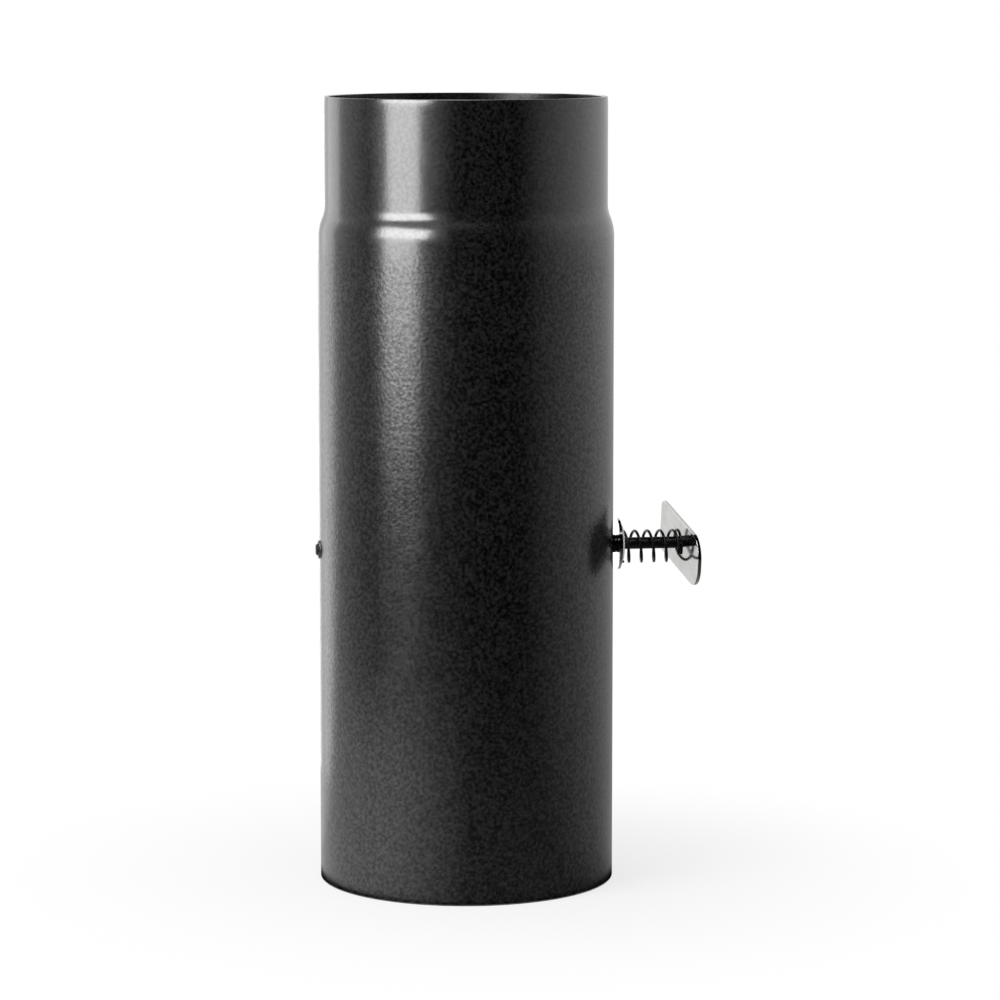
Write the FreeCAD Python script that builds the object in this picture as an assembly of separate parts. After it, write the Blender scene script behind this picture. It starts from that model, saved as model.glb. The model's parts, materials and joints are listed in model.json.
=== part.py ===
import FreeCAD, Part
import math
import os

# Stove pipe damper: a single-wall flue pipe with a swaged spigot, a round blade on a cross shaft
# and a spring-loaded plate handle. Millimetres, +Z up along the pipe, +X along the shaft to the
# handle, origin on the pipe's axis at the open lower end.

# Pipe
bore_radius = 60.0
pipe_wall = 2.0
pipe_length = 330.0
socket_length = 52.0
socket_growth = 0.2
socket_taper = 3.0
spigot_clearance = 0.9
spigot_length = 44.5
shoulder_length = 13.5
shoulder_upper_share = 0.4
rim_chamfer = 0.3

# Shaft and the drawn collars it turns in
shaft_height = 140.8
shaft_radius = 2.5
shaft_clearance = 0.08
shaft_end_past_wall = 1.8
shaft_end_chamfer = 0.6
collar_wall = 1.25
handle_collar_height = 2.2
far_collar_height = 0.9
collar_root_radius = 1.3
collar_entry_radius = 1.2
collar_tip_chamfer = 0.3
collar_land = 0.2

# Blade, at the angle it is set to
blade_angle = 12.5
blade_gap = 3.7
blade_thickness = 1.5
relief_radius = 25.0
relief_depth = 19.0

# Clips that hold the blade to the shaft
clip_width = 12.0
clip_thickness = 1.2
clip_foot = 9.5
clip_spacing = 62.0
clip_bend_radius = 1.5
clip_clearance = 0.03
rivet_radius = 1.6
rivet_head_radius = 2.9
rivet_head_height = 1.5
rivet_tail_radius = 2.6
rivet_tail_height = 0.9
rivet_clearance = 0.05

# Stop inside the wall on the handle side
stop_washer_radius = 6.5
stop_washer_thickness = 1.2
stop_gap = 0.1
pin_wire_radius = 0.75
pin_clearance = 0.05
pin_reach = 5.5
pin_eye_radius = 1.7
pin_leg_spread = 35.0

# Washers and spring outside the wall
washer_hole_clearance = 0.25
washer_gap = 0.02
thrust_washer_radius = 10.8
thrust_washer_thickness = 1.2
spring_washer_radius = 8.0
spring_washer_thickness = 1.2
spring_length = 23.3
spring_radius = 6.5
spring_wire_radius = 0.6
spring_pitch = 5.4
spring_lead_in = 0.54
spring_lead_out = 0.2
spring_settle_before = 0.2
spring_settle_turn = 0.37
spring_blend = 0.5
spring_sag = 1.35
spring_seat_gap = 0.03
spring_steps_per_turn = 12

# Handle plate
handle_length = 54.0
handle_width = 22.3
handle_thickness = 1.5
handle_long_side_shift = 5.0
handle_rise = 0.8
handle_round_end_radius = 9.4
handle_short_end_radius = 3.4
handle_edge_radius = 0.25
handle_lean = 6.4
tenon_side = 3.4
tenon_clearance = 0.05
rivet_over_radius = 3.1
rivet_over_height = 1.4

# Worked out from the sizes above
pipe_radius = bore_radius + pipe_wall
spigot_radius = bore_radius + socket_growth - spigot_clearance
blade_radius = bore_radius - blade_gap
hole_radius = shaft_radius + shaft_clearance
collar_radius = hole_radius + collar_wall
handle_collar_tip = pipe_radius + handle_collar_height
thrust_washer_x = handle_collar_tip + washer_gap
spring_washer_x = thrust_washer_x + thrust_washer_thickness
spring_seat_x = spring_washer_x + spring_washer_thickness
handle_x = spring_seat_x + spring_length
washer_hole_radius = shaft_radius + washer_hole_clearance
blade_top = -shaft_radius
blade_bottom = blade_top - blade_thickness
clip_bow_radius = shaft_radius + clip_clearance
rivet_line = clip_bow_radius + clip_thickness + clip_bend_radius + clip_foot / 2
stop_washer_x = math.sqrt(bore_radius ** 2 - stop_washer_radius ** 2) - stop_gap - stop_washer_thickness
stop_pin_x = stop_washer_x - pin_wire_radius - pin_clearance

origin = FreeCAD.Vector(0, 0, 0)
x_axis = FreeCAD.Vector(1, 0, 0)
y_axis = FreeCAD.Vector(0, 1, 0)
z_axis = FreeCAD.Vector(0, 0, 1)


def point(x, y, z):
    return FreeCAD.Vector(x, y, z)


def rod(radius, start, along, length):
    return Part.makeCylinder(radius, length, start, along)


def ring(outer, inner, x, thickness):
    disc = rod(outer, point(x, 0, 0), x_axis, thickness)
    return disc.cut(rod(inner, point(x, 0, 0), x_axis, thickness))


def set_to_angle(shape):
    # turns a piece modelled with the blade level to the set angle, at the shaft's height
    turned = shape.copy()
    turned.rotate(origin, x_axis, blade_angle)
    turned.translate(point(0, 0, shaft_height))
    return turned


def lean(shape):
    # leans a piece of the handle about the plate's short axis, short end towards the pipe
    leaning = shape.copy()
    leaning.rotate(point(handle_x, 0, 0), z_axis, handle_lean)
    return leaning


# Pipe body
def shoulder_arcs(low, high):
    # two tangent arcs that carry the wall from the body in to the spigot, the upper one tighter
    middle = high + (low - high) * shoulder_upper_share
    edges = []
    for end, side in ((low, -1), (high, 1)):
        rise = abs(middle.z - end.z)
        step = abs(middle.x - end.x)
        bend = (rise ** 2 + step ** 2) / (2 * step)
        turn = math.asin(rise / bend) / 2
        inset = bend * (1 - math.cos(turn))
        on_arc = end + point(side * inset, 0, -side * bend * math.sin(turn))
        edges.append(Part.Arc(end, on_arc, middle).toShape())
    return edges


def pipe_side(offset, foot):
    # one side of the wall, offset inwards from the outer surface, from its foot to the upper rim
    spigot_start = pipe_length - spigot_length
    body_top = point(pipe_radius - offset, 0, spigot_start - shoulder_length)
    neck_low = point(spigot_radius - offset, 0, spigot_start)
    neck_high = point(spigot_radius - offset, 0, pipe_length - rim_chamfer)
    straights = list(zip(foot, foot[1:] + [body_top])) + [(neck_low, neck_high)]
    edges = [Part.makeLine(a, b) for a, b in straights]
    return edges + shoulder_arcs(body_top, neck_low), foot[0], neck_high


def pipe_tube():
    outer, outer_low, outer_high = pipe_side(0, [point(pipe_radius, 0, rim_chamfer)])
    socket_radius = bore_radius + socket_growth
    socket_foot = [
        point(socket_radius, 0, rim_chamfer),
        point(socket_radius, 0, socket_length),
        point(bore_radius, 0, socket_length + socket_taper),
    ]
    inner, inner_low, inner_high = pipe_side(pipe_wall, socket_foot)
    c = rim_chamfer
    rims = []
    for near, far, z in ((outer_low, inner_low, 0), (outer_high, inner_high, pipe_length)):
        path = [near, point(near.x - c, 0, z), point(far.x + c, 0, z), far]
        rims += [Part.makeLine(a, b) for a, b in zip(path, path[1:])]
    wire = Part.Wire(Part.__sortEdges__(outer + inner + rims))
    return Part.Face(wire).revolve(origin, z_axis, 360)


def collar(height):
    # a collar drawn outwards from the wall round the shaft's hole, along +X
    tip = pipe_radius + height
    root = min(collar_root_radius, height - collar_tip_chamfer - collar_land)
    foot = collar_radius + root
    bend = root * (1 - math.sqrt(0.5))
    low = point(pipe_radius, foot, 0)
    top = point(pipe_radius + root, collar_radius, 0)
    flare = Part.Arc(low, point(pipe_radius + bend, collar_radius + bend, 0), top)
    outline = [
        top,
        point(tip - collar_tip_chamfer, collar_radius, 0),
        point(tip, collar_radius - collar_tip_chamfer, 0),
        point(tip, 0, 0),
        point(pipe_radius - pipe_wall / 2, 0, 0),
        point(pipe_radius - pipe_wall / 2, foot, 0),
        low,
    ]
    edges = [Part.makeLine(a, b) for a, b in zip(outline, outline[1:])]
    wire = Part.Wire(Part.__sortEdges__([flare.toShape()] + edges))
    return Part.Face(wire).revolve(origin, x_axis, 360)


def collar_hole(height):
    # the shaft's hole through wall and collar, with the rounded entry that drawing leaves inside
    radius = collar_entry_radius
    start = bore_radius - pipe_wall
    bend = radius * (1 - math.sqrt(0.5))
    low = point(bore_radius, hole_radius + radius, 0)
    top = point(bore_radius + radius, hole_radius, 0)
    entry = Part.Arc(low, point(bore_radius + bend, hole_radius + bend, 0), top)
    end = pipe_radius + height + pipe_wall
    outline = [
        top,
        point(end, hole_radius, 0),
        point(end, 0, 0),
        point(start, 0, 0),
        point(start, hole_radius + radius, 0),
        low,
    ]
    edges = [Part.makeLine(a, b) for a, b in zip(outline, outline[1:])]
    wire = Part.Wire(Part.__sortEdges__([entry.toShape()] + edges))
    return Part.Face(wire).revolve(origin, x_axis, 360)


def pipe_body():
    tube = pipe_tube()
    for height, turn in ((handle_collar_height, 0), (far_collar_height, 180)):
        for tool, joins in ((collar(height), True), (collar_hole(height), False)):
            tool.rotate(origin, z_axis, turn)
            tool.translate(point(0, 0, shaft_height))
            tube = tube.fuse(tool) if joins else tube.cut(tool)
    return tube.removeSplitter()


# Shaft, with a square tenon that is riveted over the handle plate
def damper_shaft():
    far_end = -(pipe_radius + shaft_end_past_wall)
    bar = rod(shaft_radius, point(far_end, 0, 0), x_axis, handle_x + handle_thickness - far_end)
    far_edges = [e for e in bar.Edges if e.BoundBox.XMax < far_end + shaft_end_chamfer]
    bar = bar.makeChamfer(shaft_end_chamfer, far_edges)
    # the shoulder is cut along the plate's inner face
    reach = 4 * shaft_radius
    beyond = lean(Part.makeBox(reach, reach, reach, point(handle_x, -reach / 2, -reach / 2)))
    bar = bar.cut(beyond)
    slack = handle_thickness * 2
    tenon = Part.makeBox(
        slack * 2,
        tenon_side,
        tenon_side,
        point(handle_x - slack, -tenon_side / 2, -tenon_side / 2),
    )
    outside = lean(
        Part.makeBox(reach, reach, reach, point(handle_x + handle_thickness, -reach / 2, -reach / 2))
    )
    tenon = tenon.cut(outside)
    ball = (rivet_over_radius ** 2 + rivet_over_height ** 2) / (2 * rivet_over_height)
    face_x = handle_x + handle_thickness
    dome = Part.makeSphere(ball, point(face_x + rivet_over_height - ball, 0, 0))
    dome = dome.common(Part.makeBox(reach, reach, reach, point(face_x, -reach / 2, -reach / 2)))
    bar = bar.fuse([tenon, lean(dome)]).removeSplitter()
    hole = rod(pin_wire_radius + pin_clearance, point(stop_pin_x, -reach, 0), y_axis, 2 * reach)
    return bar.cut(hole)


# Blade, a flat disc with a rounded relief that always leaves the flue partly open
def damper_blade():
    disc = rod(blade_radius, point(0, 0, blade_bottom), z_axis, blade_thickness)
    relief_y = relief_depth - blade_radius - relief_radius
    relief = rod(relief_radius, point(0, relief_y, blade_bottom), z_axis, blade_thickness)
    disc = disc.cut(relief)
    for place in rivet_places():
        start = point(place.x, place.y, blade_bottom)
        disc = disc.cut(rod(rivet_radius + rivet_clearance, start, z_axis, blade_thickness))
    return disc


def rivet_places():
    places = []
    for x in (-clip_spacing / 2, clip_spacing / 2):
        places += [point(x, -rivet_line, blade_top), point(x, rivet_line, blade_top)]
    return places


# Clips, each a strip bent over the shaft with a foot on either side
def clip_outline(offset):
    # the strip's lower or upper line as edges, offset outwards by the strip's thickness
    bow = clip_bow_radius + offset
    bend = clip_bend_radius + clip_thickness - offset
    floor = blade_top + offset
    foot_start = bow + bend
    foot_end = clip_bow_radius + clip_thickness + clip_bend_radius + clip_foot
    knee = bend * (1 - math.sqrt(0.5))
    edges = [Part.Arc(point(0, bow, 0), point(0, 0, bow), point(0, -bow, 0)).toShape()]
    for side in (-1, 1):
        top = point(0, side * bow, floor + bend)
        low = point(0, side * foot_start, floor)
        middle = point(0, side * (bow + knee), floor + knee)
        edges.append(Part.makeLine(point(0, side * bow, 0), top))
        edges.append(Part.Arc(top, middle, low).toShape())
        edges.append(Part.makeLine(low, point(0, side * foot_end, floor)))
    return edges, foot_end, floor


def shaft_clip(x):
    low_edges, foot_end, low_floor = clip_outline(0)
    high_edges, foot_end, high_floor = clip_outline(clip_thickness)
    ends = [
        Part.makeLine(point(0, side * foot_end, low_floor), point(0, side * foot_end, high_floor))
        for side in (-1, 1)
    ]
    wire = Part.Wire(Part.__sortEdges__(low_edges + high_edges + ends))
    strip = Part.Face(wire).extrude(point(clip_width, 0, 0))
    strip.translate(point(x - clip_width / 2, 0, 0))
    for place in rivet_places():
        start = point(place.x, place.y, blade_top)
        strip = strip.cut(rod(rivet_radius + rivet_clearance, start, z_axis, clip_thickness))
    return strip


def clip_rivet(place):
    seat = blade_top + clip_thickness
    ball = (rivet_head_radius ** 2 + rivet_head_height ** 2) / (2 * rivet_head_height)
    head = Part.makeSphere(ball, point(place.x, place.y, seat + rivet_head_height - ball))
    reach = 4 * rivet_head_radius
    head = head.common(
        Part.makeBox(reach, reach, reach, point(place.x - reach / 2, place.y - reach / 2, seat))
    )
    shank = rod(rivet_radius, point(place.x, place.y, blade_bottom), z_axis, seat - blade_bottom)
    tail = Part.makeCone(
        rivet_tail_radius,
        rivet_radius,
        rivet_tail_height,
        point(place.x, place.y, blade_bottom),
        point(0, 0, -1),
    )
    return head.fuse([shank, tail]).removeSplitter()


# Split pin through the shaft, its eye at one end and its two legs spread at the other
def stop_split_pin():
    centre = point(stop_pin_x, 0, 0)
    shank = rod(pin_wire_radius, centre - y_axis * pin_reach, y_axis, 2 * pin_reach)
    eye_centre = centre + y_axis * (pin_reach + pin_eye_radius)
    eye = Part.makeTorus(pin_eye_radius, pin_wire_radius / 2, eye_centre, x_axis)
    legs = []
    for side in (-1, 1):
        turn = math.radians(pin_leg_spread)
        along = point(0, -math.cos(turn), side * math.sin(turn))
        legs.append(rod(pin_wire_radius / 2, centre - y_axis * pin_reach, along, pin_reach / 2))
    knuckle = Part.makeSphere(pin_wire_radius, centre - y_axis * pin_reach)
    return shank.fuse([eye, knuckle] + legs).removeSplitter()


# Compression spring that hangs on the shaft, its wire's end laid against the leaning plate
def soft_floor(a, b):
    return (a + b + math.sqrt((a - b) ** 2 + spring_blend ** 2)) / 2


def soft_step(share):
    share = min(max(share, 0), 1)
    return share * share * (3 - 2 * share)


def handle_spring():
    slope = math.tan(math.radians(handle_lean))
    inset = spring_wire_radius + spring_seat_gap
    low = spring_seat_x + inset
    plate = handle_x - inset / math.cos(math.radians(handle_lean))
    meets_plate = spring_lead_in + (plate - low) / spring_pitch
    turns = meets_plate + spring_lead_out
    count = round(turns * spring_steps_per_turn)
    down = math.radians(-90 - blade_angle)
    spots = []
    for i in range(count + 1):
        turn = turns * i / count
        angle = 2 * math.pi * turn + down
        y = spring_radius * math.cos(angle) + spring_sag * math.cos(down)
        z = spring_radius * math.sin(angle) + spring_sag * math.sin(down)
        run = soft_floor(low + spring_pitch * (turn - spring_lead_in), low)
        settled = soft_step((turn - meets_plate + spring_settle_before) / spring_settle_turn)
        x = run + settled * (plate - slope * y - run)
        spots.append(point(x, y, z))
    curve = Part.BSplineCurve()
    curve.interpolate(spots)
    path = Part.Wire(curve.toShape())
    along = curve.tangent(curve.FirstParameter)[0]
    section = Part.Wire(Part.makeCircle(spring_wire_radius, spots[0], along))
    return path.makePipeShell([section], True, True)


# Handle plate, square-holed for the tenon nearer one end, and rounder at the other end
def handle_plate():
    plate = Part.makeBox(
        handle_thickness,
        handle_length,
        handle_width,
        point(handle_x, -handle_length / 2 - handle_long_side_shift, handle_rise - handle_width / 2),
    )
    for radius, side in ((handle_round_end_radius, -1), (handle_short_end_radius, 1)):
        across = [e for e in plate.Edges if abs(e.tangentAt(e.FirstParameter).x) > 0.5]
        plate = plate.makeFillet(radius, [e for e in across if e.CenterOfMass.y * side > 0])
    rims = [e for e in plate.Edges if abs(e.tangentAt(e.FirstParameter).x) < 0.5]
    plate = plate.makeFillet(handle_edge_radius, rims)
    side = tenon_side + 2 * tenon_clearance
    depth = handle_width
    hole = Part.makeBox(2 * depth, side, side, point(handle_x - depth, -side / 2, -side / 2))
    return lean(plate).cut(hole)


def pieces():
    washer_hole = washer_hole_radius
    level = {
        "damper_shaft": damper_shaft(),
        "damper_blade": damper_blade(),
        "far_shaft_clip": shaft_clip(-clip_spacing / 2),
        "handle_side_shaft_clip": shaft_clip(clip_spacing / 2),
        "clip_rivets": Part.makeCompound([clip_rivet(place) for place in rivet_places()]),
        "stop_washer": ring(stop_washer_radius, washer_hole, stop_washer_x, stop_washer_thickness),
        "stop_split_pin": stop_split_pin(),
        "thrust_washer": ring(thrust_washer_radius, washer_hole, thrust_washer_x, thrust_washer_thickness),
        "spring_washer": ring(spring_washer_radius, washer_hole, spring_washer_x, spring_washer_thickness),
        "handle_spring": handle_spring(),
        "handle_plate": handle_plate(),
    }
    placed = {name: set_to_angle(shape) for name, shape in level.items()}
    return {"pipe_body": pipe_body(), **placed}


os.makedirs("parts", exist_ok=True)
for name, shape in pieces().items():
    shape.exportStep(f"parts/{name}.step")
    box = shape.BoundBox
    print(name, len(shape.Solids), shape.isValid(), round(shape.Volume, 2), box)
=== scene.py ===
import json
import math
import bpy
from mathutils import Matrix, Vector


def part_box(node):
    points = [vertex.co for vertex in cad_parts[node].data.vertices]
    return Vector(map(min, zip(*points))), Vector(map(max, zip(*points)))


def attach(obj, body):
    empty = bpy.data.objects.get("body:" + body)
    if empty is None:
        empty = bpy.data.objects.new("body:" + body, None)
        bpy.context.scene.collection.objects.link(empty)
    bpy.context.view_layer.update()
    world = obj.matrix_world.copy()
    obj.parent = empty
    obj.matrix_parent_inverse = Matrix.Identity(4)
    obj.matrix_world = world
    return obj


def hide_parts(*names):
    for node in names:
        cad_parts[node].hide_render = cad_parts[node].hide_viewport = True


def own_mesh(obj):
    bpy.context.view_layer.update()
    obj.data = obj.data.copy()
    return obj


# Stove pipe damper: looks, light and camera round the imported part. Metres, +Z up, +X towards the handle.
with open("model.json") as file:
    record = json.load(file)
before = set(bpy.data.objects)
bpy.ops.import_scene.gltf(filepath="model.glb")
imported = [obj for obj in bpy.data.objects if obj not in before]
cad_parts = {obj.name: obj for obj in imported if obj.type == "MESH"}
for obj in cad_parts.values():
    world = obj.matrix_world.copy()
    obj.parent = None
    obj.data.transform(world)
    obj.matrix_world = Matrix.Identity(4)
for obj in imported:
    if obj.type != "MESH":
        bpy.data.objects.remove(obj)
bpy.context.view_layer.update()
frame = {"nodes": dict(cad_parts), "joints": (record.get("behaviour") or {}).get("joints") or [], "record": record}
nodes = frame["nodes"]
joints = {joint["name"]: joint for joint in frame["joints"]}
shaftHeight = joints["damper_turn"]["pos_m"][2]
print("frame loaded:", len(nodes), "nodes")


def deselectAll():
    if bpy.context.object and bpy.context.object.mode != "OBJECT":
        bpy.ops.object.mode_set(mode="OBJECT")
    bpy.ops.object.select_all(action="DESELECT")


def selectOnly(piece):
    deselectAll()
    bpy.context.view_layer.objects.active = piece
    piece.select_set(True)


def startMaterial(name):
    material = bpy.data.materials.new(name)
    material.use_nodes = True
    tree = material.node_tree
    shader = tree.nodes["Principled BSDF"]
    place = tree.nodes.new("ShaderNodeTexCoord").outputs["Object"]
    return material, tree, shader, place


def addNoise(tree, place, scale, detail, stretch=None):
    noise = tree.nodes.new("ShaderNodeTexNoise")
    noise.inputs["Scale"].default_value = scale
    noise.inputs["Detail"].default_value = detail
    if stretch:
        mapping = tree.nodes.new("ShaderNodeMapping")
        mapping.inputs["Scale"].default_value = stretch
        tree.links.new(place, mapping.inputs["Vector"])
        place = mapping.outputs["Vector"]
    tree.links.new(place, noise.inputs["Vector"])
    return noise.outputs["Fac"]


def addRange(tree, value, low, high, toLow, toHigh, smooth=False):
    span = tree.nodes.new("ShaderNodeMapRange")
    span.interpolation_type = "SMOOTHSTEP" if smooth else "LINEAR"
    for slot, number in zip(("From Min", "From Max", "To Min", "To Max"), (low, high, toLow, toHigh)):
        span.inputs[slot].default_value = number
    tree.links.new(value, span.inputs["Value"])
    return span.outputs["Result"]


def addMath(tree, operation, first, second):
    node = tree.nodes.new("ShaderNodeMath")
    node.operation = operation
    for socket, value in zip(node.inputs, (first, second)):
        if isinstance(value, (int, float)):
            socket.default_value = value
        else:
            tree.links.new(value, socket)
    return node.outputs["Value"]


def addVector(tree, operation, first, second=None):
    node = tree.nodes.new("ShaderNodeVectorMath")
    node.operation = operation
    tree.links.new(first, node.inputs[0])
    if second:
        node.inputs[1].default_value = second
    return node.outputs


def addSplit(tree, place):
    split = tree.nodes.new("ShaderNodeSeparateXYZ")
    tree.links.new(place, split.inputs["Vector"])
    return split.outputs


def addBlend(tree, amount, first, second):
    mix = tree.nodes.new("ShaderNodeMix")
    mix.data_type = "RGBA"
    mix.inputs["A"].default_value = (*first, 1)
    mix.inputs["B"].default_value = (*second, 1)
    tree.links.new(amount, mix.inputs["Factor"])
    return mix.outputs["Result"]


def addBump(tree, height, shader, depth):
    bump = tree.nodes.new("ShaderNodeBump")
    bump.inputs["Strength"].default_value = 1.0
    bump.inputs["Distance"].default_value = depth
    tree.links.new(height, bump.inputs["Height"])
    tree.links.new(bump.outputs["Normal"], shader.inputs["Normal"])


# Satin black heat paint, with a fine grain, smoother where the neck was swaged
heatPaint = {
    "dark": (0.001, 0.001, 0.0011),
    "light": (0.0145, 0.0145, 0.015),
    "toneSpan": (0.35, 0.7),  # of the grain's noise, from dark to light
    "grainScale": 690.0,  # grains about 1.5 mm apart
    "grainDetail": 2.5,
    "grainDepth": 0.00006,
    "neckGrain": 0.3,  # share of the grain left on the neck
    "dullGrain": 0.38,  # metal share where a grain takes light away from the gloss
    "dullSpan": (0.35, 0.65),
    "bodyRoughness": 0.24,
    "neckRoughness": 0.19,
    "patchScale": 86.25,  # slow changes of the gloss
    "patchDetail": 2.0,
    "patchSpan": (0.3, 0.7),
    "patchRoughness": (-0.02, 0.02),
    "shoulder": (0.258, 0.274),  # heights between which the body's paint turns into the neck's
    "seamHalfWidth": 0.0016,
    "seamHeight": 1.2,  # against the grain's depth
    "index": 1.6,
    "gloss": 1.0,
}


def makeHeatPaint(look):
    material, tree, shader, place = startMaterial("heatPaint")
    grain = addNoise(tree, place, look["grainScale"], look["grainDetail"])
    patches = addNoise(tree, place, look["patchScale"], look["patchDetail"])
    split = addSplit(tree, place)

    def upTheShoulder(body, neck):
        return addRange(tree, split["Z"], *look["shoulder"], body, neck, smooth=True)

    tone = addRange(tree, grain, *look["toneSpan"], 0.0, 1.0)
    tree.links.new(addBlend(tree, tone, look["dark"], look["light"]), shader.inputs["Base Color"])
    relief = upTheShoulder(1.0, look["neckGrain"])
    dull = addRange(tree, grain, *look["dullSpan"], look["dullGrain"], 0.0)
    tree.links.new(addMath(tree, "MULTIPLY", dull, relief), shader.inputs["Metallic"])
    rough = upTheShoulder(look["bodyRoughness"], look["neckRoughness"])
    uneven = addRange(tree, patches, *look["patchSpan"], *look["patchRoughness"])
    tree.links.new(addMath(tree, "ADD", rough, uneven), shader.inputs["Roughness"])
    across = addMath(tree, "ABSOLUTE", split["X"], 0.0)
    ridge = addRange(tree, across, 0.0, look["seamHalfWidth"], look["seamHeight"], 0.0, smooth=True)
    behind = addMath(tree, "GREATER_THAN", split["Y"], 0.0)  # the weld runs down the back
    height = addMath(tree, "MULTIPLY", grain, relief)
    height = addMath(tree, "ADD", height, addMath(tree, "MULTIPLY", ridge, behind))
    addBump(tree, height, shader, look["grainDepth"])
    shader.inputs["IOR"].default_value = look["index"]
    shader.inputs["Specular IOR Level"].default_value = look["gloss"]
    return material


# Zinc plate: bright on the handle and most of the small pieces, pale and matt on the washer under the spring
brightZinc = {
    "name": "brightZinc",
    "dark": (0.455, 0.455, 0.45),
    "light": (0.545, 0.545, 0.535),
    "markScale": 160.0,
    "grainScale": 2500.0,
    "grainDetail": 2.0,
    "depth": 0.000002,
    "roughness": (0.07, 0.11),
    "metal": 1.0,
}
mattZinc = {
    **brightZinc,
    "name": "mattZinc",
    "dark": (0.76, 0.76, 0.755),
    "light": (0.86, 0.86, 0.855),
    "roughness": (0.5, 0.6),
    "metal": 0.1,
}
# Blackened steel of the shaft, the spring wire and the rivets
blackSteel = {
    "name": "blackSteel",
    "dark": (0.016, 0.016, 0.017),
    "light": (0.034, 0.033, 0.033),
    "markScale": 420.0,
    "depth": 0.000008,
    "roughness": (0.30, 0.45),
    "metal": 0.8,
}
# Mill-finish sheet of the blade and its clips, with the marks of the rolls along the shaft
millSheet = {
    "name": "millSheet",
    "dark": (0.17, 0.17, 0.175),
    "light": (0.27, 0.27, 0.275),
    "markScale": 300.0,
    "markStretch": (0.06, 1.0, 1.0),
    "depth": 0.000006,
    "roughness": (0.30, 0.44),
    "metal": 1.0,
}
metalMarks = {
    "detail": 3.0,
    "toneSpan": (0.35, 0.65),
    "roughSpan": (0.3, 0.7),
}


def makeMetal(look, marks):
    # spangle, mottle or streaks change the tone and the gloss; zinc has a finer grain of its own for the bump
    material, tree, shader, place = startMaterial(look["name"])
    mark = addNoise(tree, place, look["markScale"], marks["detail"], look.get("markStretch"))
    relief = mark
    if "grainScale" in look:
        relief = addNoise(tree, place, look["grainScale"], look["grainDetail"])
    tone = addRange(tree, mark, *marks["toneSpan"], 0.0, 1.0)
    tree.links.new(addBlend(tree, tone, look["dark"], look["light"]), shader.inputs["Base Color"])
    tree.links.new(addRange(tree, mark, *marks["roughSpan"], *look["roughness"]), shader.inputs["Roughness"])
    addBump(tree, relief, shader, look["depth"])
    shader.inputs["Metallic"].default_value = look["metal"]
    return material


finishes = {
    "heat_paint": makeHeatPaint(heatPaint),
    "zinc": makeMetal(brightZinc, metalMarks),
    "mattZinc": makeMetal(mattZinc, metalMarks),
    "dark_steel": makeMetal(blackSteel, metalMarks),
    "sheet_steel": makeMetal(millSheet, metalMarks),
}
slotOf = {part["node"]: part["material_slot"] for part in frame["record"]["subparts"]}
finishOf = {**slotOf, "spring_washer": "mattZinc"}


def dress(piece, finish):
    piece.data.materials.clear()
    piece.data.materials.append(finishes[finish])


for name, node in nodes.items():
    dress(node, finishOf[name])
print("finishes on:", ", ".join(sorted(finishes)))


# The tube again with fine rings round its bends, which the paint's gloss needs, and a softened lip
flueTube = {
    "node": "pipe_body",
    "body": "pipe",
    "steps": 192,  # faces round the tube
    "bendSteps": 10,
    "radius": 0.06199,  # a hair inside the solid, whose own mesh has flats
    "neckRadius": 0.0593,
    "wall": 0.002,
    "socketGrowth": 0.0002,
    "socketTop": (0.052, 0.055),  # the wider socket narrows to the bore between these heights
    "shoulder": (0.272, 0.2855),
    "upperShare": 0.4,  # of the shoulder, in its upper bend
    "top": 0.33,
    "edge": 0.0003,
    "lip": (0.0003, 0.0046),  # how far the edge is drawn in, and from how far down
    "shaftReach": 0.012,  # rings this far over and under the shaft
    "smoothAngle": 30.0,
}
shaftCollars = {
    "steps": 48,
    "bendSteps": 6,
    "holeRadius": 0.00258,
    "radius": 0.00383,
    "entry": 0.0012,
    "edge": 0.0003,
    "sides": ((1, 0.0022, 0.0013), (-1, 0.0009, 0.0004)),  # side of the pipe, height and root of the collar
}
mergeDistance = 0.000002


def addArc(centre, radius, start, end, steps):
    angles = [math.radians(start + (end - start) * i / steps) for i in range(steps + 1)]
    return [(centre[0] + radius * math.cos(angle), centre[1] + radius * math.sin(angle)) for angle in angles]


def shoulderLine(look, inset):
    # two tangent bends from the body in to the neck, as radius and height
    low = Vector((look["radius"] - inset, look["shoulder"][0]))
    high = Vector((look["neckRadius"] - inset, look["shoulder"][1]))
    middle = high + (low - high) * look["upperShare"]
    bends = []
    for end, side in ((low, 1), (high, -1)):
        rise, step = abs(middle.y - end.y), abs(middle.x - end.x)
        radius = (rise ** 2 + step ** 2) / (2 * step)
        turn = math.degrees(math.asin(rise / radius))
        start = 0.0 if side > 0 else 180.0
        bends.append(addArc((end.x - side * radius, end.y), radius, start, start + turn, look["bendSteps"]))
    return bends[0] + bends[1][::-1][1:]


def tubeOutline(look):
    bore = look["radius"] - look["wall"]
    socket = bore + look["socketGrowth"]
    inside = look["neckRadius"] - look["wall"]
    edge, top = look["edge"], look["top"]
    drawnIn, drawnFrom = look["lip"]
    belts = [shaftHeight - look["shaftReach"], shaftHeight + look["shaftReach"]]
    outline = [(look["radius"], edge)] + [(look["radius"], height) for height in belts]
    outline += shoulderLine(look, 0)
    lip = addArc((0, 0), 1.0, 0, 90, look["bendSteps"])
    outline += [(look["neckRadius"] - drawnIn * (1 - x), top - drawnFrom * (1 - y)) for x, y in lip]
    outline += [(inside + edge, top), (inside, top - edge)]
    outline += shoulderLine(look, look["wall"])[::-1] + [(bore, height) for height in belts[::-1]]
    outline += [(bore, look["socketTop"][1]), (socket, look["socketTop"][0]), (socket, edge)]
    return outline + [(socket + edge, 0), (look["radius"] - edge, 0)]


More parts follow.
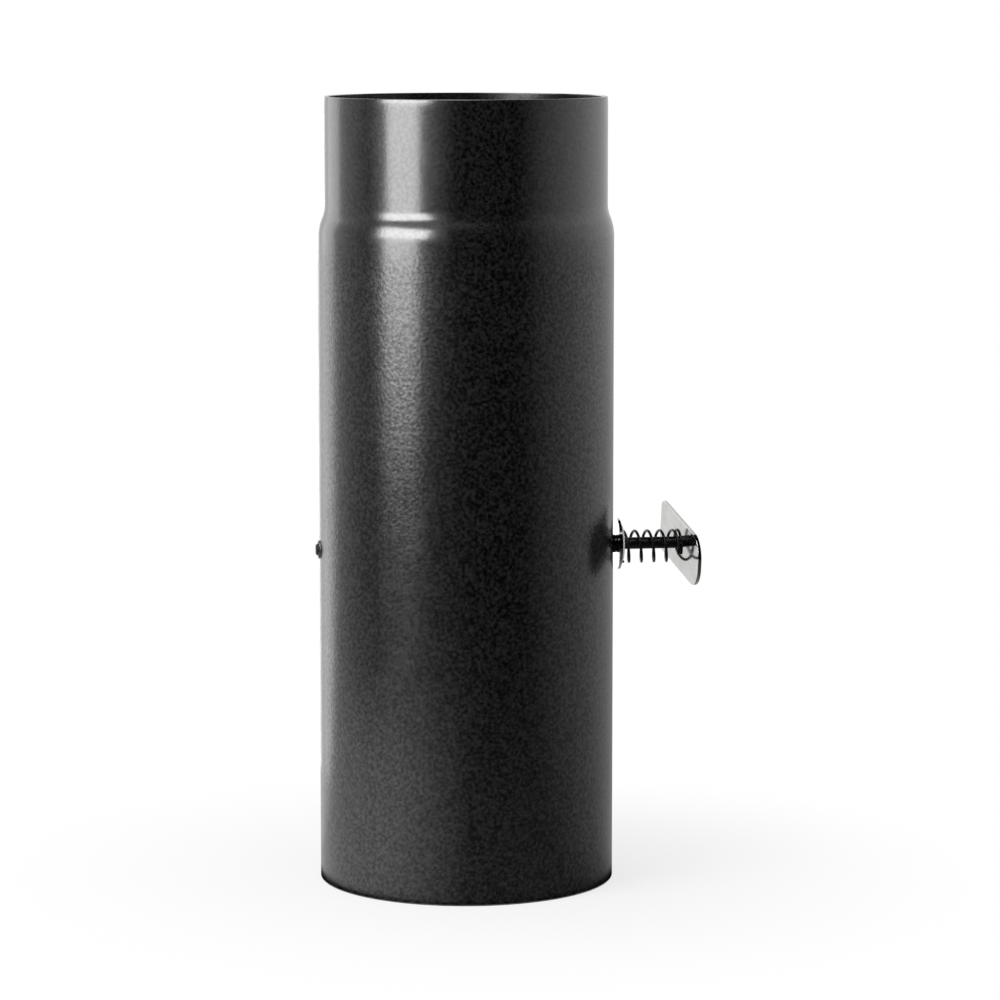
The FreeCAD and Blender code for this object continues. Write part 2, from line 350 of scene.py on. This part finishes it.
def collarOutlines(look, tube, height, root):
    # the collar's solid and the tool for its hole, as distance along the shaft and radius
    face, wall = tube["radius"], tube["wall"]
    bore, tip, edge = face - wall, face + height, look["edge"]
    flare = addArc((face + root, look["radius"] + root), root, 180, 270, look["bendSteps"])
    solid = flare + [(tip - edge, look["radius"]), (tip, look["radius"] - edge), (tip, 0)]
    solid += [(face - wall / 2, 0), (face - wall / 2, look["radius"] + root)]
    mouth = look["holeRadius"] + look["entry"]
    hole = addArc((bore + look["entry"], mouth), look["entry"], 180, 270, look["bendSteps"])
    hole += [(tip + wall, look["holeRadius"]), (tip + wall, 0), (bore - wall, 0), (bore - wall, mouth)]
    return solid, hole


def mergeAll():
    bpy.ops.mesh.select_all(action="SELECT")
    bpy.ops.mesh.remove_doubles(threshold=mergeDistance)


def spinOutline(name, points, centre, axis, steps):
    # draws a closed outline point by point and turns it round an axis
    deselectAll()
    bpy.ops.mesh.primitive_plane_add(size=0.01)
    piece = bpy.context.object
    piece.name = name
    bpy.ops.object.mode_set(mode="EDIT")
    bpy.ops.mesh.select_all(action="SELECT")
    bpy.ops.mesh.merge(type="CENTER")
    bpy.ops.transform.translate(value=points[0])
    for before, after in zip(points, points[1:] + points[:1]):
        bpy.ops.mesh.extrude_vertices_move(TRANSFORM_OT_translate={"value": after - before})
    mergeAll()
    bpy.ops.mesh.spin(steps=steps, angle=2 * math.pi, center=centre, axis=axis)
    mergeAll()
    bpy.ops.mesh.normals_make_consistent(inside=False)
    bpy.ops.object.mode_set(mode="OBJECT")
    return piece


def combine(piece, tool, operation):
    selectOnly(piece)
    bpy.ops.object.modifier_add(type="BOOLEAN")
    modifier = piece.modifiers[-1]
    modifier.operation = operation
    modifier.solver = "EXACT"
    modifier.object = tool
    bpy.ops.object.modifier_apply(modifier=modifier.name)
    deselectAll()
    tool.select_set(True)
    bpy.ops.object.delete()


def finishPiece(piece, look):
    # merges and smooths the selected piece, and lets it stand for its node
    bpy.ops.object.mode_set(mode="EDIT")
    mergeAll()
    bpy.ops.object.mode_set(mode="OBJECT")
    bpy.ops.object.shade_smooth_by_angle(angle=math.radians(look["smoothAngle"]))
    dress(piece, slotOf[look["node"]])
    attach(piece, look["body"])
    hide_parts(look["node"])


def makeTube(look, collars):
    points = [Vector((radius, 0, height)) for radius, height in tubeOutline(look)]
    tube = spinOutline("flueTube", points, (0, 0, 0), (0, 0, 1), look["steps"])
    centre = (0, 0, shaftHeight)
    for side, height, root in collars["sides"]:
        outlines = collarOutlines(collars, look, height, root)
        for outline, operation in zip(outlines, ("UNION", "DIFFERENCE")):
            points = [Vector((side * along, 0, shaftHeight + radius)) for along, radius in outline]
            combine(tube, spinOutline("collarTool", points, centre, (1, 0, 0), collars["steps"]), operation)
    selectOnly(tube)
    finishPiece(tube, look)
    return tube


flueTubePiece = makeTube(flueTube, shaftCollars)
print("tube made:", len(flueTubePiece.data.polygons), "faces")


# Spring between washer and handle, which on the real damper shortens as the handle is pushed in; here the coil's
# own form, merged into one smooth mesh
handleSpring = {
    "node": "handle_spring",
    "body": "spring_stack",
    "joint": "handle_push",
    "seatX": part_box("spring_washer")[1].x,  # the washer's face, where the coil stands still
    "length": 0.0233,  # free length between washer and plate
    "smoothAngle": 40.0,
}


def makeSpring(look):
    selectOnly(nodes[look["node"]])
    bpy.ops.object.duplicate()
    spring = bpy.context.object
    spring.name = "springCoil"
    spring.parent = None
    for key in [key for key in spring.keys() if key.startswith("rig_")]:
        del spring[key]  # the copy is a new piece, not the node
    finishPiece(spring, look)
    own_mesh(spring)
    return spring


springCoil = makeSpring(handleSpring)
print("spring made:", len(springCoil.data.polygons), "faces")


# Pale floor: it takes the shadow at the foot and runs out into the white all round
paleFloor = {
    "radius": 0.26,
    "sides": 128,
    "tint": (0.88, 0.88, 0.88),
    "roughness": 0.9,
    "shadow": (0.07, 0.24),  # full at the first distance, faded out at the second
    "shadowShare": 0.28,
}


def addSeenRay(tree):
    path = tree.nodes.new("ShaderNodeLightPath").outputs
    seen = addMath(tree, "MAXIMUM", path["Is Camera Ray"], path["Is Glossy Ray"])
    return addMath(tree, "MAXIMUM", seen, path["Is Transmission Ray"])


def makeFloor(look):
    deselectAll()
    bpy.ops.mesh.primitive_circle_add(vertices=look["sides"], radius=look["radius"], fill_type="NGON")
    floor = bpy.context.object
    floor.name = "paleFloor"
    material, tree, shader, place = startMaterial("paleFloor")
    shader.inputs["Base Color"].default_value = (*look["tint"], 1)
    shader.inputs["Roughness"].default_value = look["roughness"]
    shader.inputs["Specular IOR Level"].default_value = 0.0
    away = addVector(tree, "LENGTH", place)["Value"]
    share = addRange(tree, away, *look["shadow"], 1 - look["shadowShare"], 1.0, smooth=True)
    white = tree.nodes.new("ShaderNodeEmission")
    mix = tree.nodes.new("ShaderNodeMixShader")
    tree.links.new(addMath(tree, "MULTIPLY", share, addSeenRay(tree)), mix.inputs[0])
    tree.links.new(shader.outputs["BSDF"], mix.inputs[1])
    tree.links.new(white.outputs["Emission"], mix.inputs[2])
    tree.links.new(mix.outputs["Shader"], tree.nodes["Material Output"].inputs["Surface"])
    floor.data.materials.append(material)


makeFloor(paleFloor)


def around(turn, away, height):
    # a point at this turn from the front, in degrees, positive towards the handle
    angle = math.radians(turn)
    return Vector((math.sin(angle) * away, -math.cos(angle) * away, height))


# Card round the part that shows only in reflections: a wall, a lid over it and a ring on the floor.
# It is dark in front, paler to both sides, and paler on the floor close by on the left.
gradedCard = {
    "radius": 2.6,
    "sides": 144,
    "inner": 0.0612,  # of the ring, under the pipe's edge
    "low": 0.0006,
    "high": 2.6,
    "ends": (-130.0, 165.0),  # degrees round from the front
    "left": (-80.0, -130.0, 0.72),  # two turns, from dark to this strength
    "right": (36.0, 112.0, 0.84),
    "rightFloor": 0.46,  # share of the right side's light left on the floor close by
    "rightLift": 0.2,  # height on the wall with all of it
    "foot": (0.0, -60.0, 0.76),
    "footReach": (0.42, 0.55),
    "faint": (0.14, 0.65, 0.08),  # on the floor on every side, fading out
    "edgeDark": (0.0635, 0.071),  # dark on the floor up against the pipe
    "bounce": (-18.0, -44.0, 0.7),  # beside the key, for the neck only
    "bounceEnd": (-80.0, -92.0),
    "bounceHeight": (0.08, 0.16),
    "overhead": (0.1, 0.9, 7.0),  # on the lid, towards the key, for the lip
    "overheadTurn": -60.0,
    "overheadEnd": (1.9, 2.1),
}


def cutCard(look):
    # a closed drum with a hole in its floor for the pipe, and open at the back
    deselectAll()
    tall = look["high"] - look["low"]
    bpy.ops.mesh.primitive_cylinder_add(
        vertices=look["sides"], radius=look["radius"], depth=tall, end_fill_type="NGON",
        location=(0, 0, look["low"] + tall / 2),
    )
    card = bpy.context.object
    card.name = "gradedCard"
    bpy.ops.object.transform_apply(location=True)
    bpy.ops.object.mode_set(mode="EDIT")
    bpy.ops.mesh.select_all(action="DESELECT")
    bpy.ops.object.mode_set(mode="OBJECT")
    for face in card.data.polygons:
        face.select = face.normal.z < -0.5
    bpy.ops.object.mode_set(mode="EDIT")
    bpy.ops.mesh.inset(thickness=look["radius"] - look["edgeDark"][1])
    bpy.ops.mesh.inset(thickness=look["edgeDark"][1] - look["inner"])  # close to the pipe, and all round it
    bpy.ops.mesh.delete(type="FACE")
    bpy.ops.object.mode_set(mode="OBJECT")
    start, end = look["ends"]
    for face in card.data.polygons:
        turn = math.degrees(math.atan2(face.center.x, -face.center.y))
        away = math.hypot(face.center.x, face.center.y)
        behind = not start <= turn <= end
        face.select = behind and face.normal.z < 0.5 and away > look["edgeDark"][1]
    bpy.ops.object.mode_set(mode="EDIT")
    bpy.ops.mesh.delete(type="FACE")
    bpy.ops.object.mode_set(mode="OBJECT")
    return card


def addGlow(tree, place, look):
    split = addSplit(tree, place)
    height = split["Z"]
    turn = addMath(tree, "ARCTAN2", split["X"], addMath(tree, "MULTIPLY", split["Y"], -1.0))
    flat = addVector(tree, "MULTIPLY", place, (1, 1, 0))["Vector"]
    away = addVector(tree, "LENGTH", flat)["Value"]
    onFloor = addMath(tree, "LESS_THAN", height, 2 * look["low"])
    onLid = addMath(tree, "GREATER_THAN", height, look["high"] - look["low"])
    offLid = addMath(tree, "SUBTRACT", 1.0, onLid)

    def times(first, second):
        return addMath(tree, "MULTIPLY", first, second)

    def palest(first, second):
        return addMath(tree, "MAXIMUM", first, second)

    def sweep(start, end, *shares):
        return addRange(tree, turn, math.radians(start), math.radians(end), *shares)

    def side(name):
        start, end, pale = look[name]
        return sweep(start, end, 0.0, pale)

    outwards = addRange(tree, away, 0.0, look["radius"], 0.0, 0.5)
    upwards = addRange(tree, height, 0.0, look["rightLift"], 0.0, 0.5)
    lift = addRange(tree, addMath(tree, "ADD", outwards, upwards), 0.0, 1.0, look["rightFloor"], 1.0)
    near, far, faint = look["faint"]
    faint = times(addRange(tree, away, near, far, faint, 0.0), onFloor)
    right = palest(times(side("right"), lift), faint)
    close = addRange(tree, away, *look["footReach"], 1.0, 0.0, smooth=True)
    left = palest(side("left"), times(side("foot"), times(close, onFloor)))
    bounceHeight = addRange(tree, height, *look["bounceHeight"], 0.0, 1.0, smooth=True)
    bounce = times(side("bounce"), times(sweep(*look["bounceEnd"], 1.0, 0.0), bounceHeight))
    pale = times(palest(left, palest(right, bounce)), offLid)
    pale = times(pale, addRange(tree, away, *look["edgeDark"], 0.0, 1.0, smooth=True))
    towardsKey = addVector(tree, "DOT_PRODUCT", place, around(look["overheadTurn"], 1.0, 0.0))["Value"]
    start, end, bright = look["overhead"]
    overhead = addRange(tree, towardsKey, start, end, 0.0, bright, smooth=True)
    overhead = times(overhead, addRange(tree, away, *look["overheadEnd"], 1.0, 0.0))
    return addMath(tree, "ADD", pale, times(overhead, onLid))


def makeCard(look):
    card = cutCard(look)
    material, tree, _, place = startMaterial("gradedCard")
    glow = tree.nodes.new("ShaderNodeEmission")
    tree.links.new(addGlow(tree, place, look), glow.inputs["Strength"])
    tree.links.new(glow.outputs["Emission"], tree.nodes["Material Output"].inputs["Surface"])
    card.data.materials.append(material)
    card.visible_camera = False
    card.visible_diffuse = False
    card.visible_shadow = False


makeCard(gradedCard)

# White surroundings, seen by the camera and in the metal, with a softer light on the paint
surroundings = {"seen": 1.0, "ambient": 0.7}


def makeSurroundings(look):
    world = bpy.data.worlds.new("surroundings")
    bpy.context.scene.world = world
    world.use_nodes = True
    tree = world.node_tree
    strength = addRange(tree, addSeenRay(tree), 0.0, 1.0, look["ambient"], look["seen"])
    sky = tree.nodes["Background"]
    sky.inputs["Color"].default_value = (1, 1, 1, 1)
    tree.links.new(strength, sky.inputs["Strength"])


makeSurroundings(surroundings)

# Soft lamps: two key boxes, one over the other, to the left of the camera, and two strips behind on the left
softLamps = {
    "lowKey": {
        "turn": -58.5, "away": 1.0, "height": 0.265, "aim": 0.28,
        "wide": 0.5, "tall": 0.27, "power": 1.97,
    },
    "highKey": {  # wider, for the shoulder and the lip
        "turn": -57.0, "away": 1.0, "height": 0.58, "aim": 0.30,
        "wide": 0.74, "tall": 0.36, "power": 6.5,
    },
    "nearStrip": {
        "turn": -142.0, "away": 1.4, "height": 0.2, "aim": 0.2,
        "wide": 0.62, "tall": 1.4, "power": 2.15,
    },
    "farStrip": {
        "turn": -175.0, "away": 1.4, "height": 0.2, "aim": 0.2,
        "wide": 0.30, "tall": 1.4, "power": 1.7,
    },
}


def makeLamp(name, look):
    lamp = bpy.data.lights.new(name, "AREA")
    lamp.shape = "RECTANGLE"
    lamp.size = look["wide"]
    lamp.size_y = look["tall"]
    lamp.energy = look["power"]
    holder = bpy.data.objects.new(name, lamp)
    bpy.context.scene.collection.objects.link(holder)
    holder.location = around(look["turn"], look["away"], look["height"])
    towards = Vector((0, 0, look["aim"])) - holder.location
    holder.rotation_euler = towards.to_track_quat("-Z", "Y").to_euler()
    holder.visible_camera = False


for name, look in softLamps.items():
    makeLamp(name, look)
print("stage set:", len(softLamps), "lamps")

# Camera at the photo's viewing angle
viewCamera = {
    "turn": -8.0,
    "away": 1.6632,
    "height": 0.3733,
    "tilt": 7.289,  # degrees down
    "pan": 0.492,  # degrees to the right, so the pipe stands left of the middle
    "lens": 143.2,
    "sensor": 36.0,
}


def makeCamera(look):
    camera = bpy.data.cameras.new("viewCamera")
    camera.lens = look["lens"]
    camera.sensor_width = look["sensor"]
    holder = bpy.data.objects.new("viewCamera", camera)
    bpy.context.scene.collection.objects.link(holder)
    holder.location = around(look["turn"], look["away"], look["height"])
    holder.rotation_euler = (math.radians(90 - look["tilt"]), 0, math.radians(look["turn"] - look["pan"]))
    bpy.context.scene.camera = holder


makeCamera(viewCamera)
bpy.context.scene.view_settings.view_transform = "Standard"
